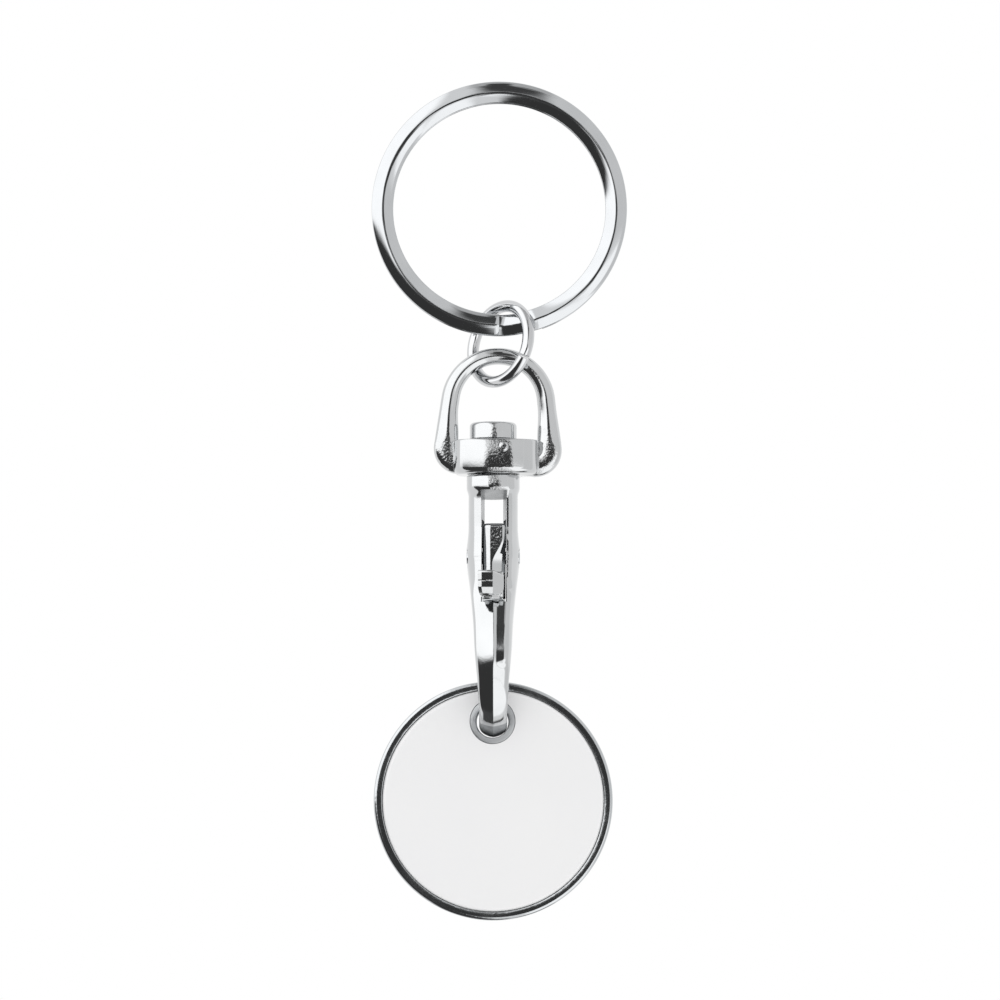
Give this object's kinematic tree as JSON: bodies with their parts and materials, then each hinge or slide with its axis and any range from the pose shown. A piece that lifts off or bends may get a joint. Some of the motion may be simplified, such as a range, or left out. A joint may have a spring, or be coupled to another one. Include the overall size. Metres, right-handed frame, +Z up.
{
  "type": "trolley token keyring",
  "caption": "Round coin token on a swivel trigger snap hook, hung from a split key ring by a jump ring.",
  "frame": {"origin": "where the split ring bears on what carries it: the inside of the ring, at its top, midway through its thickness", "axes": "+Z up along the hanging keyring, +X to the right and -Y towards the viewer, who sees the hook's spine side and the coin's front"},
  "size_m": [0.025, 0.0106, 0.0821],
  "materials": {
    "bright_nickel": "bright nickel plate on zinc casting and steel wire, polished",
    "spring_steel": "nickelled spring steel, bright",
    "coin_plate": "nickelled iron, bright, struck and tumbled",
    "white_print": "white print under a clear gloss dome"
  },
  "bodies": {
    "ring": {"split_ring": "spring_steel"},
    "jump_ring": {"link": "bright_nickel"},
    "eye": {"swivel_eye": "bright_nickel"},
    "hook": {"hook_body": "bright_nickel", "pivot_pin": "spring_steel", "trigger_spring": "spring_steel"},
    "trigger": {"trigger": "bright_nickel"},
    "token": {"coin": "coin_plate", "coin_inlay_front": "white_print", "coin_inlay_back": "white_print"}
  },
  "joints": [
    {"name": "link_slide", "type": "hinge", "parent": "ring", "child": "jump_ring", "pos_m": [0, 0, -0.0104], "axis": [0, 1, 0], "continuous": true},
    {"name": "eye_swing", "type": "hinge", "parent": "jump_ring", "child": "eye", "pos_m": [0, -0.0004, -0.02531], "axis": [1, 0, 0], "range_deg": [-75, 75]},
    {"name": "hook_swivel", "type": "hinge", "parent": "eye", "child": "hook", "pos_m": [-0.00059, 0, -0.03667], "axis": [0, 0, 1], "continuous": true},
    {"name": "trigger_open", "type": "hinge", "parent": "hook", "child": "trigger", "pos_m": [-0.00059, 0, -0.04467], "axis": [-1, 0, 0], "range_deg": [0, 20], "stiffness_Nm_per_rad": 0.003, "springref_deg": -20.05, "deforming": ["trigger_spring"]},
    {"name": "coin_swing", "type": "hinge", "parent": "hook", "child": "token", "pos_m": [-0.00065, 0, -0.06065], "axis": [0, 1, 0], "range_deg": [-60, 60]}
  ]
}
